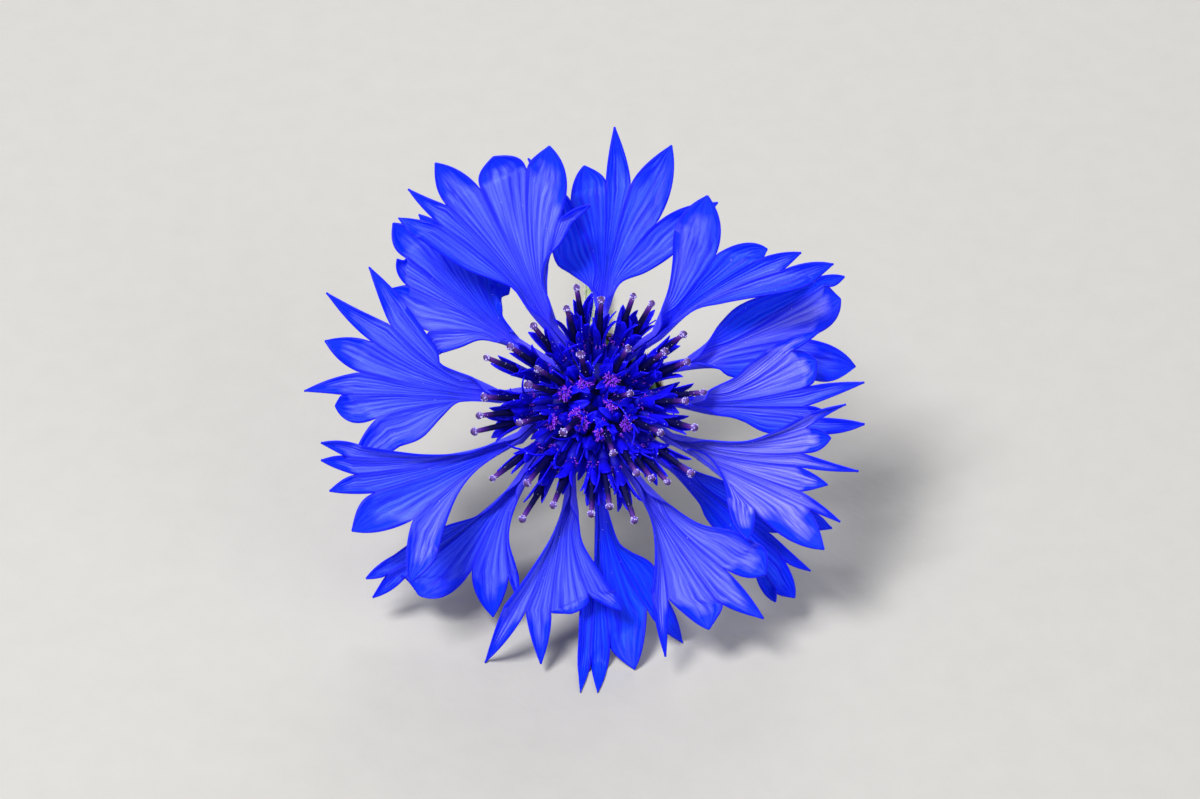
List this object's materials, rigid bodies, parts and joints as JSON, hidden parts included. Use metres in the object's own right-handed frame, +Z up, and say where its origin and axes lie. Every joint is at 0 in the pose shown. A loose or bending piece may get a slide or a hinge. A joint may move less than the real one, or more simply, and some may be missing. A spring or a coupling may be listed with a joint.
{
  "type": "cornflower",
  "caption": "Picked blue cornflower head on a short bent cut stem, lying on a surface with its open face tilted up and forward.",
  "frame": {"origin": "on the surface that the flower lies on, under the middle of its bounding box", "axes": "+Z up from the surface; +Y from the head back along the lying stem to its cut end; +X to the right of the head seen from its open face"},
  "size_m": [0.0456, 0.0658, 0.0342],
  "materials": {
    "stem": "dull, woolly grey-green",
    "involucre": "satin green with brown toothed scale margins",
    "disc": "satin dark blue with purple anthers",
    "ray": "satin, slightly translucent blue petal"
  },
  "bodies": {
    "root": {"stem": "stem", "involucre": "involucre", "disc_florets": "disc", "ray_floret_01": "ray", "ray_floret_02": "ray", "ray_floret_03": "ray", "ray_floret_04": "ray", "ray_floret_05": "ray", "ray_floret_06": "ray", "ray_floret_07": "ray", "ray_floret_08": "ray", "ray_floret_09": "ray", "ray_floret_10": "ray", "ray_floret_11": "ray", "ray_floret_12": "ray", "ray_floret_13": "ray", "ray_floret_14": "ray"}
  },
  "joints": []
}
